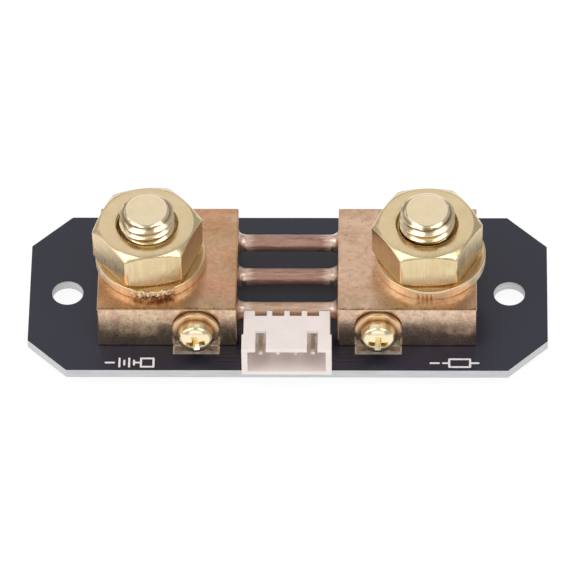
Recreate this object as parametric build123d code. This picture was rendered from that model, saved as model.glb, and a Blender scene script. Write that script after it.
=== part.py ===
from build123d import *

import os
from math import radians, sqrt, tan

# A shunt for a battery monitor: two brass terminal blocks on a circuit board, joined by three
# resistance bars, each block with an M8 stud and nut for a ring terminal and a small sense screw.
# Millimetres. X runs from the battery side (-) to the load side (+), the connector faces -Y and
# +Z is up. The origin is midway between the two mounting holes, on the board's underside.
SIDES = {"battery": -1, "load": 1}

# Circuit board
BOARD_LENGTH = 75.0
BOARD_WIDTH = 30.0
BOARD_THICKNESS = 1.5
BOARD_CORNER_CUT = 5.75
MOUNTING_HOLE_SPACING = 64.0
MOUNTING_HOLE_DIAMETER = 4.5

# Terminal blocks, which stand on the board
BLOCK_LENGTH = 20.0
BLOCK_WIDTH = 20.0
BLOCK_HEIGHT = 7.6
BLOCK_GAP = 14.5
BLOCK_CENTRE_Y = -0.2
BLOCK_EDGE_BREAK = 0.15

# Resistance bars, brazed into sockets in the blocks
BAR_DIAMETER = 2.5
BAR_SPACING = 6.6
BAR_HEIGHT = 3.8
BAR_SOCKET_DEPTH = 4.0
BAR_END_GAP = 0.1
BRAZE_LENGTH = 1.2
BRAZE_RISE = 0.9
BRAZE_FEATHER = 0.08

# M8 studs, washers and nuts
STUD_X = 20.1
STUD_DIAMETER = 8.0
STUD_TOP = 17.85
STUD_TIP_DIAMETER = 6.0
STUD_TIP_HEIGHT = 0.55
THREAD_CLEARANCE = 0.05
WASHER_DIAMETER = 16.0
WASHER_BORE = 9.0
WASHER_THICKNESS = 1.6
WASHER_OFFSET = 0.4
WASHER_EDGE_RADIUS = 0.2
NUT_ACROSS_FLATS = 14.0
NUT_HEIGHT = 6.0
NUT_FACE_DIAMETER = 13.4
NUT_CHAMFER_ANGLE = 30.0
NUT_COUNTERSINK_DIAMETER = 8.9
NUT_ANGLES = {"battery": 9.0, "load": 2.0}

# M3 sense screws, which clamp a soldered tab to the front face of each block
SENSE_X = 13.1
SENSE_HEIGHT = 3.8
SENSE_SCREW_DIAMETER = 3.0
SENSE_SCREW_REACH = 6.0
SENSE_HEAD_DIAMETER = 5.0
SENSE_HEAD_HEIGHT = 2.4
SENSE_HEAD_SIDE = 1.3
SENSE_WASHER_DIAMETER = 6.9
SENSE_WASHER_BORE = 3.2
SENSE_WASHER_THICKNESS = 0.5
RECESS_SPAN = 2.9
RECESS_FLOOR_SPAN = 1.2
RECESS_SLOT = 0.7
RECESS_DEPTH = 1.3
TAB_WIDTH = 6.25
TAB_THICKNESS = 0.3
TAB_FOOT = 1.45
TAB_BEND_RADIUS = 0.1
TAB_SOLDER_THICKNESS = 0.05
TAB_SOLDER_MARGIN = 0.25

# M3 screws that hold each block from below; the part stands on their heads
FIXING_X = 23.5
FIXING_SPACING = 13.0
FIXING_DIAMETER = 3.0
FIXING_HOLE_DIAMETER = 3.4
FIXING_REACH = 5.0
FIXING_HEAD_DIAMETER = 5.5
FIXING_HEAD_HEIGHT = 2.0
FIXING_HEAD_SIDE = 1.1

# Four-pin connector, 2.5 mm pitch, open to the front
PIN_COUNT = 4
PIN_PITCH = 2.5
PIN_SIZE = 0.64
PIN_HEIGHT = 2.7
PIN_TIP_SETBACK = 1.7
PIN_TAIL = 1.3
PIN_BEND_RADIUS = 0.5
PIN_HOLE_DIAMETER = 1.0
HOUSING_WIDTH = 12.4
HOUSING_HEIGHT = 5.4
HOUSING_FRONT_Y = -15.85
HOUSING_REAR_Y = -8.3
HOUSING_SIDE_WALL = 0.6
HOUSING_FLOOR = 0.65
HOUSING_ROOF = 0.65
COLLAR_THICKNESS = 0.25
COLLAR_DEPTH = 3.0
SOCKET_DEPTH = 5.5
NOTCH_WIDTH = 1.7
NOTCH_DEPTH = 0.95
ROOF_SLOT_WIDTH = 1.5
ROOF_SLOT_LENGTH = 3.7
ROOF_SLOT_X = 3.7
SOLDER_CONE_RADIUS = 0.9
SOLDER_CONE_TIP = 0.5
SOLDER_CONE_HEIGHT = 0.9

# Sense amplifier and its chip parts, on the underside between the blocks
AMPLIFIER_Y = -1.5
AMPLIFIER_LENGTH = 4.9
AMPLIFIER_WIDTH = 3.9
AMPLIFIER_THICKNESS = 1.45
AMPLIFIER_STANDOFF = 0.15
AMPLIFIER_EDGE_BREAK = 0.2
LEADS_PER_SIDE = 4
LEAD_PITCH = 1.27
LEAD_WIDTH = 0.42
LEAD_THICKNESS = 0.2
LEAD_SHOULDER = 0.3
LEAD_FOOT = 0.65
CHIP_LENGTH = 2.0
CHIP_WIDTH = 1.25
CHIP_CAP_LENGTH = 0.35
CAPACITOR_THICKNESS = 0.9
RESISTOR_THICKNESS = 0.5
CHIP_X = 5.4
CHIP_SPACING = 2.4

# A point on the dome of each screw head, as shares of its radius and of the dome's rise
DOME_SHOULDER = (0.66, 0.74)

# How far a cutting shape reaches past the surface it cuts, and a blind hole past its screw
OVERSHOOT = 0.1
BLIND_HOLE_EXTRA = 1.0

# Worked out from the sizes above
BLOCK_CENTRE_X = (BLOCK_GAP + BLOCK_LENGTH) / 2
BLOCK_FRONT_Y = BLOCK_CENTRE_Y - BLOCK_WIDTH / 2
BLOCK_TOP = BOARD_THICKNESS + BLOCK_HEIGHT
SENSE_AXIS_Z = BOARD_THICKNESS + SENSE_HEIGHT
PIN_TAIL_Y = HOUSING_REAR_Y - NOTCH_DEPTH / 2
PIN_XS = [PIN_PITCH * (i - (PIN_COUNT - 1) / 2) for i in range(PIN_COUNT)]
ON_BASE = (Align.CENTER, Align.CENTER, Align.MIN)
HUNG = (Align.CENTER, Align.CENTER, Align.MAX)
FACING_FRONT = Rot(X=90)


def rod(diameter, length, align=ON_BASE):
    return Cylinder(diameter / 2, length, align=align)


def turned(points):
    """A solid of revolution about Z, from its (radius, height) outline."""
    outline = Plane.XZ * make_face(Polyline(*points, close=True))
    return revolve(outline, Axis.Z)


def bent_strip(outline, rounded, width):
    """A strip bent in the YZ plane and centred on X. rounded maps an outline point to its radius."""
    face = make_face(Polyline(*outline, close=True))
    for (y, z), radius in rounded.items():
        corner = face.vertices().sort_by_distance(Vector(y, z))[0]
        face = fillet(corner, radius)
    return extrude(Plane.YZ * face, width / 2, both=True)


def pan_head(diameter, height, side):
    """A screw head that stands on Z = 0 with a domed top."""
    radius = diameter / 2
    shoulder = (DOME_SHOULDER[0] * radius, side + DOME_SHOULDER[1] * (height - side))
    dome = ThreePointArc((radius, side), shoulder, (0, height))
    sides = Polyline((0, height), (0, 0), (radius, 0), (radius, side))
    return revolve(Plane.XZ * make_face([dome, sides]), Axis.Z)


def cross_recess():
    """The driver's cross, to be cut from a head whose highest point is at Z = 0."""
    mouth, floor = RECESS_SPAN / 2, RECESS_FLOOR_SPAN / 2
    section = [(-mouth, OVERSHOOT), (mouth, OVERSHOOT), (floor, -RECESS_DEPTH), (-floor, -RECESS_DEPTH)]
    arm = extrude(Plane.XZ * make_face(Polyline(*section, close=True)), RECESS_SLOT / 2, both=True)
    return arm + Rot(Z=90) * arm


def fixing_places(sign):
    offsets = (-FIXING_SPACING / 2, FIXING_SPACING / 2)
    return [(sign * FIXING_X, BLOCK_CENTRE_Y + offset) for offset in offsets]


def circuit_board():
    outline = Rectangle(BOARD_LENGTH, BOARD_WIDTH)
    board = extrude(chamfer(outline.vertices(), BOARD_CORNER_CUT), BOARD_THICKNESS)
    mounting_hole = rod(MOUNTING_HOLE_DIAMETER, BOARD_THICKNESS)
    fixing_hole = rod(FIXING_HOLE_DIAMETER, BOARD_THICKNESS)
    for sign in SIDES.values():
        board -= Pos(X=sign * MOUNTING_HOLE_SPACING / 2) * mounting_hole
        for x, y in fixing_places(sign):
            board -= Pos(x, y) * fixing_hole
    for x in PIN_XS:
        board -= Pos(x, PIN_TAIL_Y) * rod(PIN_HOLE_DIAMETER, BOARD_THICKNESS)
    return board


def terminal_block(sign):
    block = Box(BLOCK_LENGTH, BLOCK_WIDTH, BLOCK_HEIGHT, align=ON_BASE)
    block = Pos(sign * BLOCK_CENTRE_X, BLOCK_CENTRE_Y, BOARD_THICKNESS) * block
    block = chamfer(block.edges(), BLOCK_EDGE_BREAK)
    stud_hole = rod(STUD_DIAMETER + 2 * THREAD_CLEARANCE, BLOCK_HEIGHT)
    block -= Pos(sign * STUD_X, BLOCK_CENTRE_Y, BOARD_THICKNESS) * stud_hole
    sense_hole = rod(SENSE_SCREW_DIAMETER + 2 * THREAD_CLEARANCE, SENSE_SCREW_REACH + BLIND_HOLE_EXTRA, HUNG)
    block -= Pos(sign * SENSE_X, BLOCK_FRONT_Y, SENSE_AXIS_Z) * FACING_FRONT * sense_hole
    for x, y in fixing_places(sign):
        fixing_hole = rod(FIXING_DIAMETER + 2 * THREAD_CLEARANCE, FIXING_REACH + BLIND_HOLE_EXTRA)
        block -= Pos(x, y, BOARD_THICKNESS) * fixing_hole
    socket_length = 2 * (BAR_SOCKET_DEPTH + BAR_END_GAP)
    socket = Rot(Y=90) * Cylinder(BAR_DIAMETER / 2 + THREAD_CLEARANCE, socket_length)
    for row in (-1, 0, 1):
        y = BLOCK_CENTRE_Y + row * BAR_SPACING
        block -= Pos(sign * BLOCK_GAP / 2, y, BOARD_THICKNESS + BAR_HEIGHT) * socket
    return block


def resistance_bar(row):
    bar = Rot(Y=90) * Cylinder(BAR_DIAMETER / 2, BLOCK_GAP + 2 * BAR_SOCKET_DEPTH)
    return Pos(0, BLOCK_CENTRE_Y + row * BAR_SPACING, BOARD_THICKNESS + BAR_HEIGHT) * bar


def braze_ring():
    """A fillet of braze about the X axis, flared towards X = 0."""
    inner = BAR_DIAMETER / 2
    feather = (BRAZE_LENGTH, inner + BRAZE_FEATHER)
    flare = TangentArc(feather, (0, inner + BRAZE_RISE), tangent=(-1, 0))
    rest = Polyline((0, inner + BRAZE_RISE), (0, inner), (BRAZE_LENGTH, inner), feather)
    return revolve(make_face([flare, rest]), Axis.X)


def braze_fillets(sign):
    ring = braze_ring() if sign < 0 else mirror(braze_ring(), Plane.YZ)
    z = BOARD_THICKNESS + BAR_HEIGHT
    places = [Pos(sign * BLOCK_GAP / 2, BLOCK_CENTRE_Y + row * BAR_SPACING, z) for row in (-1, 0, 1)]
    return Compound([place * ring for place in places])


def terminal_stud(sign):
    radius, shoulder = STUD_DIAMETER / 2, STUD_TOP - STUD_TIP_HEIGHT
    tip = STUD_TIP_DIAMETER / 2
    stud = turned([(0, 0), (radius, 0), (radius, shoulder), (tip, STUD_TOP), (0, STUD_TOP)])
    return Pos(sign * STUD_X, BLOCK_CENTRE_Y, BOARD_THICKNESS) * stud


def flat_washer(sign):
    """A loose washer, lying a little to one side of the stud."""
    washer = rod(WASHER_DIAMETER, WASHER_THICKNESS) - rod(WASHER_BORE, WASHER_THICKNESS)
    top_rim = washer.edges().filter_by(GeomType.CIRCLE).group_by(Axis.Z)[-1].sort_by(SortBy.RADIUS)[-1]
    washer = fillet(top_rim, WASHER_EDGE_RADIUS)
    return Pos(sign * STUD_X + WASHER_OFFSET, BLOCK_CENTRE_Y, BLOCK_TOP) * washer


def hex_nut(side, sign):
    hexagon = RegularPolygon(NUT_ACROSS_FLATS / 2, 6, major_radius=False)
    face_radius = NUT_FACE_DIAMETER / 2
    outer_radius = NUT_ACROSS_FLATS / sqrt(3) + OVERSHOOT
    slope = (outer_radius - face_radius) * tan(radians(NUT_CHAMFER_ANGLE))
    turned_ends = turned(
        [
            (0, 0),
            (face_radius, 0),
            (outer_radius, slope),
            (outer_radius, NUT_HEIGHT - slope),
            (face_radius, NUT_HEIGHT),
            (0, NUT_HEIGHT),
        ]
    )
    nut = extrude(hexagon, NUT_HEIGHT) & turned_ends
    bore = STUD_DIAMETER / 2 + THREAD_CLEARANCE
    mouth = NUT_COUNTERSINK_DIAMETER / 2
    depth = mouth - bore
    nut -= turned(
        [
            (0, 0),
            (mouth, 0),
            (bore, depth),
            (bore, NUT_HEIGHT - depth),
            (mouth, NUT_HEIGHT),
            (0, NUT_HEIGHT),
        ]
    )
    place = Pos(sign * STUD_X, BLOCK_CENTRE_Y, BLOCK_TOP + WASHER_THICKNESS)
    return place * Rot(Z=NUT_ANGLES[side]) * nut


def on_block_front(sign, part):
    """Turns a part made along +Z so that it faces the front, on the sense screw's axis."""
    return Pos(sign * SENSE_X, BLOCK_FRONT_Y, SENSE_AXIS_Z) * FACING_FRONT * part


def sense_screw(sign):
    head_base = TAB_THICKNESS + SENSE_WASHER_THICKNESS
    screw = Pos(Z=head_base) * pan_head(SENSE_HEAD_DIAMETER, SENSE_HEAD_HEIGHT, SENSE_HEAD_SIDE)
    screw += Pos(Z=head_base) * rod(SENSE_SCREW_DIAMETER, head_base + SENSE_SCREW_REACH, HUNG)
    screw -= Pos(Z=head_base + SENSE_HEAD_HEIGHT) * cross_recess()
    return on_block_front(sign, screw)


def sense_washer(sign):
    washer = rod(SENSE_WASHER_DIAMETER, SENSE_WASHER_THICKNESS)
    washer -= rod(SENSE_WASHER_BORE, SENSE_WASHER_THICKNESS)
    return on_block_front(sign, Pos(Z=TAB_THICKNESS) * washer)


def sense_tab(sign):
    """An angle of strip: a round-topped leg behind the washer and a foot soldered to the board."""
    foot_z = BOARD_THICKNESS + TAB_SOLDER_THICKNESS
    back, front, toe = BLOCK_FRONT_Y, BLOCK_FRONT_Y - TAB_THICKNESS, BLOCK_FRONT_Y - TAB_FOOT
    top = SENSE_AXIS_Z + TAB_WIDTH / 2
    heel, inside = (back, foot_z), (front, foot_z + TAB_THICKNESS)
    outline = [heel, (toe, foot_z), (toe, inside[1]), inside, (front, top), (back, top)]
    rounding = {heel: TAB_BEND_RADIUS + TAB_THICKNESS, inside: TAB_BEND_RADIUS}
    strip = Pos(X=sign * SENSE_X) * bent_strip(outline, rounding, TAB_WIDTH)
    below = Pos(Y=-SENSE_HEIGHT / 2) * Rectangle(TAB_WIDTH, SENSE_HEIGHT)
    silhouette = extrude(Circle(TAB_WIDTH / 2) + below, TAB_FOOT)
    strip &= on_block_front(sign, silhouette)
    return strip - on_block_front(sign, rod(SENSE_WASHER_BORE, TAB_THICKNESS))


def tab_solder(sign):
    margin = 2 * TAB_SOLDER_MARGIN
    pad = Box(TAB_WIDTH + margin, TAB_FOOT + TAB_SOLDER_MARGIN, TAB_SOLDER_THICKNESS, align=ON_BASE)
    y = BLOCK_FRONT_Y - (TAB_FOOT + TAB_SOLDER_MARGIN) / 2
    return Pos(sign * SENSE_X, y, BOARD_THICKNESS) * pad


def block_screws(sign):
    screw = Rot(X=180) * pan_head(FIXING_HEAD_DIAMETER, FIXING_HEAD_HEIGHT, FIXING_HEAD_SIDE)
    screw += rod(FIXING_DIAMETER, BOARD_THICKNESS + FIXING_REACH)
    screw -= Pos(Z=-FIXING_HEAD_HEIGHT) * Rot(X=180) * cross_recess()
    return Compound([Pos(x, y) * screw for x, y in fixing_places(sign)])


def connector_housing():
    depth = HOUSING_REAR_Y - HOUSING_FRONT_Y
    centre_y = (HOUSING_REAR_Y + HOUSING_FRONT_Y) / 2
    housing = Pos(0, centre_y) * Box(HOUSING_WIDTH, depth, HOUSING_HEIGHT, align=ON_BASE)
    collar_width = HOUSING_WIDTH + 2 * COLLAR_THICKNESS
    collar = Box(collar_width, COLLAR_DEPTH, HOUSING_HEIGHT, align=(Align.CENTER, Align.MIN, Align.MIN))
    housing += Pos(0, HOUSING_FRONT_Y) * collar
    socket_height = HOUSING_HEIGHT - HOUSING_FLOOR - HOUSING_ROOF
    front_open = (Align.CENTER, Align.MIN, Align.MIN)
    socket = Box(HOUSING_WIDTH - 2 * HOUSING_SIDE_WALL, SOCKET_DEPTH, socket_height, align=front_open)
    housing -= Pos(0, HOUSING_FRONT_Y, HOUSING_FLOOR) * socket
    slot = Box(ROOF_SLOT_WIDTH, ROOF_SLOT_LENGTH, HOUSING_ROOF, align=front_open)
    for sign in SIDES.values():
        housing -= Pos(sign * ROOF_SLOT_X, HOUSING_FRONT_Y, HOUSING_HEIGHT - HOUSING_ROOF) * slot
    notch = Box(NOTCH_WIDTH, NOTCH_DEPTH, HOUSING_HEIGHT, align=(Align.CENTER, Align.MAX, Align.MIN))
    pin_hole = Box(PIN_SIZE, depth, PIN_SIZE)
    for x in PIN_XS:
        housing -= Pos(x, HOUSING_REAR_Y) * notch
        housing -= Pos(x, centre_y, PIN_HEIGHT) * pin_hole
    return Pos(Z=BOARD_THICKNESS) * housing


def connector_pin(x):
    """A square pin that leaves the housing to the rear, then turns down through the board."""
    half = PIN_SIZE / 2
    tip = HOUSING_FRONT_Y + PIN_TIP_SETBACK
    upper = BOARD_THICKNESS + PIN_HEIGHT + half
    lower = upper - PIN_SIZE
    rear, near = PIN_TAIL_Y + half, PIN_TAIL_Y - half
    outline = [(tip, lower), (tip, upper), (rear, upper), (rear, -PIN_TAIL), (near, -PIN_TAIL), (near, lower)]
    rounding = {(rear, upper): PIN_BEND_RADIUS + half}
    return Pos(X=x) * bent_strip(outline, rounding, PIN_SIZE)


def connector_solder_joints():
    joint = rod(PIN_HOLE_DIAMETER, BOARD_THICKNESS)
    joint += Cone(SOLDER_CONE_TIP, SOLDER_CONE_RADIUS, SOLDER_CONE_HEIGHT, align=HUNG)
    joint -= Box(PIN_SIZE, PIN_SIZE, 2 * (BOARD_THICKNESS + SOLDER_CONE_HEIGHT))
    return Compound([Pos(x, PIN_TAIL_Y) * joint for x in PIN_XS])


def amplifier_body():
    body = Box(AMPLIFIER_LENGTH, AMPLIFIER_WIDTH, AMPLIFIER_THICKNESS, align=HUNG)
    body = chamfer(body.edges(), AMPLIFIER_EDGE_BREAK)
    return Pos(0, AMPLIFIER_Y, -AMPLIFIER_STANDOFF) * body


def amplifier_leads():
    """Gull-wing leads along the two long sides, bent up to the underside of the board."""
    side_y = AMPLIFIER_WIDTH / 2
    knee, toe = side_y + LEAD_SHOULDER, side_y + LEAD_SHOULDER + LEAD_FOOT
    low = -AMPLIFIER_STANDOFF - AMPLIFIER_THICKNESS / 2
    outline = [
        (side_y, low),
        (knee, low),
        (knee, -LEAD_THICKNESS),
        (toe, -LEAD_THICKNESS),
        (toe, 0),
        (knee - LEAD_THICKNESS, 0),
        (knee - LEAD_THICKNESS, low + LEAD_THICKNESS),
        (side_y, low + LEAD_THICKNESS),
    ]
    lead = bent_strip(outline, {}, LEAD_WIDTH)
    leads = []
    for turn in (0, 180):
        for i in range(LEADS_PER_SIDE):
            x = LEAD_PITCH * (i - (LEADS_PER_SIDE - 1) / 2)
            leads.append(Pos(0, AMPLIFIER_Y) * Rot(Z=turn) * Pos(X=x) * lead)
    return Compound(leads)


def chip_places():
    """Three chips on each side of the amplifier, as (x, y, thickness): a capacitor and two resistors."""
    thicknesses = (CAPACITOR_THICKNESS, RESISTOR_THICKNESS, RESISTOR_THICKNESS)
    return [
        (sign * CHIP_X, AMPLIFIER_Y + CHIP_SPACING * (i - 1), thickness)
        for sign in SIDES.values()
        for i, thickness in enumerate(thicknesses)
    ]


def chip_bodies(wanted):
    length = CHIP_LENGTH - 2 * CHIP_CAP_LENGTH
    places = [place for place in chip_places() if place[2] == wanted]
    return Compound([Pos(x, y) * Box(length, CHIP_WIDTH, t, align=HUNG) for x, y, t in places])


def chip_end_caps():
    reach = (CHIP_LENGTH - CHIP_CAP_LENGTH) / 2
    caps = []
    for x, y, thickness in chip_places():
        cap = Box(CHIP_CAP_LENGTH, CHIP_WIDTH, thickness, align=HUNG)
        caps += [Pos(x + end * reach, y) * cap for end in (-1, 1)]
    return Compound(caps)


def all_parts():
    parts = {
        "circuit_board": circuit_board(),
        "resistance_bar_rear": resistance_bar(1),
        "resistance_bar_middle": resistance_bar(0),
        "resistance_bar_front": resistance_bar(-1),
        "connector_housing": connector_housing(),
        "connector_solder_joints": connector_solder_joints(),
        "amplifier_body": amplifier_body(),
        "amplifier_leads": amplifier_leads(),
        "chip_capacitors": chip_bodies(CAPACITOR_THICKNESS),
        "chip_resistors": chip_bodies(RESISTOR_THICKNESS),
        "chip_end_caps": chip_end_caps(),
    }
    for number, x in enumerate(PIN_XS, start=1):
        parts[f"connector_pin_{number}"] = connector_pin(x)
    for side, sign in SIDES.items():
        parts[f"terminal_block_{side}"] = terminal_block(sign)
        parts[f"braze_fillets_{side}"] = braze_fillets(sign)
        parts[f"terminal_stud_{side}"] = terminal_stud(sign)
        parts[f"flat_washer_{side}"] = flat_washer(sign)
        parts[f"hex_nut_{side}"] = hex_nut(side, sign)
        parts[f"sense_screw_{side}"] = sense_screw(sign)
        parts[f"sense_washer_{side}"] = sense_washer(sign)
        parts[f"sense_tab_{side}"] = sense_tab(sign)
        parts[f"tab_solder_{side}"] = tab_solder(sign)
        parts[f"block_screws_{side}"] = block_screws(sign)
    return parts


os.makedirs("parts", exist_ok=True)
for name, shape in all_parts().items():
    export_step(shape, f"parts/{name}.step")
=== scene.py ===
import math

import bmesh
import bpy
from mathutils import Matrix, Vector, noise


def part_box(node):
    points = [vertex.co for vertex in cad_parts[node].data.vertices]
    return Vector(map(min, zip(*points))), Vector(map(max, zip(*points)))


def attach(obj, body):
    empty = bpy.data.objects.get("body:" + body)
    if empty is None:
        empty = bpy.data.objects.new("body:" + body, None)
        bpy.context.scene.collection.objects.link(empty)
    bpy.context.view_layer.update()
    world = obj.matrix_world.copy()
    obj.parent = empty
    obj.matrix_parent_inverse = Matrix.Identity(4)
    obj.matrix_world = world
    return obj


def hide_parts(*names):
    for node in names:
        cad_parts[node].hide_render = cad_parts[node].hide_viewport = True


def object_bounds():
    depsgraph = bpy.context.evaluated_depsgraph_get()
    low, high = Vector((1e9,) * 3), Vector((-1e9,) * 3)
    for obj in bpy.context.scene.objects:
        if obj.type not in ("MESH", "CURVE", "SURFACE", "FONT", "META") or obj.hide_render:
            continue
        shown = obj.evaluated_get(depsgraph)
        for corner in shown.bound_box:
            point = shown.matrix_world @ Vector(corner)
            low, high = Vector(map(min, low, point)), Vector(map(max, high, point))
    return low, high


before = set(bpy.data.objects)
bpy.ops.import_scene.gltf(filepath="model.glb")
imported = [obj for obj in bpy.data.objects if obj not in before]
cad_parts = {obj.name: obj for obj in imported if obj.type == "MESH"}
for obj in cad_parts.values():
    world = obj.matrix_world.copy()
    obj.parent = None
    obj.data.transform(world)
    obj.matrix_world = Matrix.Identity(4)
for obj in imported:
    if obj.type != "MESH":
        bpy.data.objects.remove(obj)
cad_low, cad_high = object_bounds()

# Sizes are in millimetres up to the meshes, which are in metres like the frame.
MM = 0.001
SIDES = ("battery", "load")
SIGN = {"battery": -1, "load": 1}
BAR_ROWS = ("rear", "middle", "front")
PIN_NUMBERS = range(1, 5)

# The board, its print and its tracks.
BOARD_CORNER_CUT = 5.75
BOARD_EDGE_ROUND = 0.06
MOUNTING_HOLE_X = 32.0
MOUNTING_HOLE_RADIUS = 2.25
FIXING_HEAD_RADIUS = 2.75
FIXING_HOLE_RADIUS = 1.7
PIN_HOLE_RADIUS = 0.5
STROKE_WIDTH = 0.3
STROKE_STEP = 0.003
INK_THICKNESS = 0.02
SIGN_X = {"battery": -22.6, "load": 24.1}
SIGN_Y = -13.55
TRACK_COUNT = 3
TRACK_THICKNESS = 0.03
TRACK_FIRST_Y = -11.6
TRACK_SPACING = 0.75
TRACK_BEND_X = 7.2
TRACK_BEND = 0.8

# The M8 thread, which stud and nut share. THREAD_START is the height of a crest at angle 0.
PITCH = 1.25
THREAD_DEPTH = 0.68
THREAD_FLANK_SLOPE = math.tan(math.radians(30))
THREAD_GAP = 0.06
CREST_INSET = 0.02
THREAD_START = {"battery": 0.02, "load": 0.85}
THREAD_STEPS = 120
ROWS_PER_TURN = 16

# Studs: their coned tips, and the flat spot ground on the battery side's thread, as a depth down
# from the top, a distance from the axis and a direction.
STUD_TIP_RADIUS = 2.93
STUD_TIP_SLOPE = 1.8
STUD_TIP_EDGE = 0.1
GROUND_SPOT_DEPTH = 2.3
GROUND_SPOT_REACH = 3.5
GROUND_SPOT_ANGLE = math.radians(202)

# Nuts, 14 mm across flats. NUT_TURN is in degrees.
NUT_APOTHEM = 6.98
NUT_CORNER_BLUNTING = 0.13
NUT_CORNER_WEAR = {"battery": 0.2, "load": 0.0}
NUT_FACE_RADIUS = 6.7
NUT_EDGE_ROUND = 0.06
NUT_CHAMFER_SLOPE = math.tan(math.radians(30))
NUT_MOUTH_RADIUS = 4.55
NUT_MOUTH_SLOPE = math.tan(math.radians(35))
NUT_TURN = {"battery": 9.0, "load": 2.0}

# Washers: the torn part of the battery side's rim, and the nicked part of the load side's.
WASHER_BORE_RADIUS = 4.5
TEAR_START, TEAR_END = math.radians(-109), math.radians(-63)
NICKS_START, NICKS_END = math.radians(-104), math.radians(-86)

# Sense screws and their washers.
SENSE_DOME_HEIGHT = 1.1
SENSE_BORE_RADIUS = 1.6
SENSE_TURN = {"battery": 0.12, "load": -0.06}


# ------------------------------ places in the frame


def low(node):
    """The lowest corner of a CAD node's box, in millimetres."""
    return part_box(node)[0] / MM


def high(node):
    """The highest corner of a CAD node's box, in millimetres."""
    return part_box(node)[1] / MM


def centre(node):
    return (low(node) + high(node)) / 2


def half_width(node):
    return (high(node).x - low(node).x) / 2


def half_height(node):
    return (high(node).z - low(node).z) / 2


BOARD_TOP = high("circuit_board").z
BLOCK_TOP = high("terminal_block_load").z


# ------------------------------ node helpers


class Shader:
    """A material under construction: one Principled shader and short calls that add nodes to it."""

    def __init__(self, name, **settings):
        self.material = bpy.data.materials.new(name)
        self.material.use_nodes = True
        self.tree = self.material.node_tree
        self.principled = self.tree.nodes["Principled BSDF"]
        for socket, value in settings.items():
            self.principled.inputs[socket.replace("_", " ")].default_value = value
        self.place = self.add("ShaderNodeTexCoord").outputs["Object"]

    def add(self, kind, inputs=(), **props):
        """Adds a node. inputs: a value or another node's output for each socket."""
        made = self.tree.nodes.new(kind)
        for key, value in props.items():
            setattr(made, key, value)
        for socket, value in dict(inputs).items():
            self.feed(made.inputs[socket], value)
        return made

    def feed(self, socket, value):
        if isinstance(value, bpy.types.NodeSocket):
            self.tree.links.new(value, socket)
        else:
            socket.default_value = value

    def set(self, socket, value):
        """Sets or links an input of the Principled shader."""
        self.feed(self.principled.inputs[socket], value)

    def scaled(self, scale, origin=(0, 0, 0)):
        """The object's own coordinates, in millimetres from origin, times scale."""
        per_metre = [s / MM for s in scale]
        shift = [-o * s for o, s in zip(origin, scale)]
        settings = {"Vector": self.place, "Location": shift, "Scale": per_metre}
        return self.add("ShaderNodeMapping", settings).outputs[0]

    def along(self, axis, origin=(0, 0, 0)):
        """Distance in millimetres from origin along X, Y or Z, given as 0, 1 or 2."""
        return self.add("ShaderNodeSeparateXYZ", {0: self.scaled((1, 1, 1), origin)}).outputs[axis]

    def radius(self, origin, plane=(1, 1, 0)):
        """Distance in millimetres from an axis through origin, along the plane's zero direction."""
        place = self.scaled(plane, origin)
        return self.add("ShaderNodeVectorMath", {0: place}, operation="LENGTH").outputs["Value"]

    def noise(self, scale=(1, 1, 1), detail=4.0, roughness=0.55, distortion=0.0, origin=(0, 0, 0)):
        settings = {"Vector": self.scaled(scale, origin), "Scale": 1.0, "Detail": detail}
        settings |= {"Roughness": roughness, "Distortion": distortion}
        return self.add("ShaderNodeTexNoise", settings).outputs["Fac"]

    def math(self, operation, a, b=0.5):
        return self.add("ShaderNodeMath", {0: a, 1: b}, operation=operation).outputs[0]

    def spread(self, value, from_low, from_high, to_low=0.0, to_high=1.0):
        """Stretches one range over another, and holds the value inside it."""
        inputs = {"Value": value, "From Min": from_low, "From Max": from_high}
        inputs |= {"To Min": to_low, "To Max": to_high}
        return self.add("ShaderNodeMapRange", inputs).outputs[0]

    def blend(self, factor, a, b):
        """A number between a and b."""
        return self.add("ShaderNodeMix", {0: factor, 2: a, 3: b}).outputs[0]

    def mix(self, factor, a, b):
        """A colour between a and b."""
        made = self.add("ShaderNodeMix", data_type="RGBA")
        self.feed(made.inputs[0], factor)
        for socket, value in ((made.inputs[6], a), (made.inputs[7], b)):
            self.feed(socket, (*value, 1.0) if isinstance(value, tuple) else value)
        return made.outputs[2]

    def bump(self, layers):
        """layers: (height socket, strength, distance in millimetres), laid on each other."""
        normal = None
        for height, strength, distance in layers:
            settings = {"Height": height, "Strength": strength, "Distance": distance * MM}
            if normal is not None:
                settings["Normal"] = normal
            normal = self.add("ShaderNodeBump", settings).outputs[0]
        self.set("Normal", normal)


# ------------------------------ materials


def turned_brass(name, light, deep, roughness, axis, plane=(1, 1, 0), painted_shade=None):
    """Bright brass turned on a lathe: fine rings about axis, small scratches and faint stains.

    painted_shade: the radius inside which shade is painted into the colour, the height it lies below, and
    the colour of that painted shade."""
    shader = Shader(name, Metallic=1.0)
    colour = stained(shader, light, deep, axis)
    # Painted shade: the colour is darkened inside the radius and below the height.
    if painted_shade:
        reach, level, shade_colour = painted_shade
        inside = shader.spread(shader.radius(axis, plane), reach - 0.3, reach + 0.12, 0.92, 0)
        below = shader.spread(shader.along(2), level - 0.3, level - 0.2, 1, 0)
        colour = shader.mix(shader.math("MULTIPLY", inside, below), colour, shade_colour)
    shader.set("Base Color", colour)
    smear = shader.noise((0.8, 0.8, 0.8), detail=4)
    shader.set("Roughness", shader.spread(smear, 0.3, 0.7, roughness * 0.75, roughness * 1.35))
    pits = shader.noise((6, 6, 6), detail=3)
    rings = lathe_rings(shader, axis, plane)
    shader.bump([(rings, 0.35, 0.02), (pits, 0.25, 0.008), (smear, 0.2, 0.05)])
    return shader.material


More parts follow.
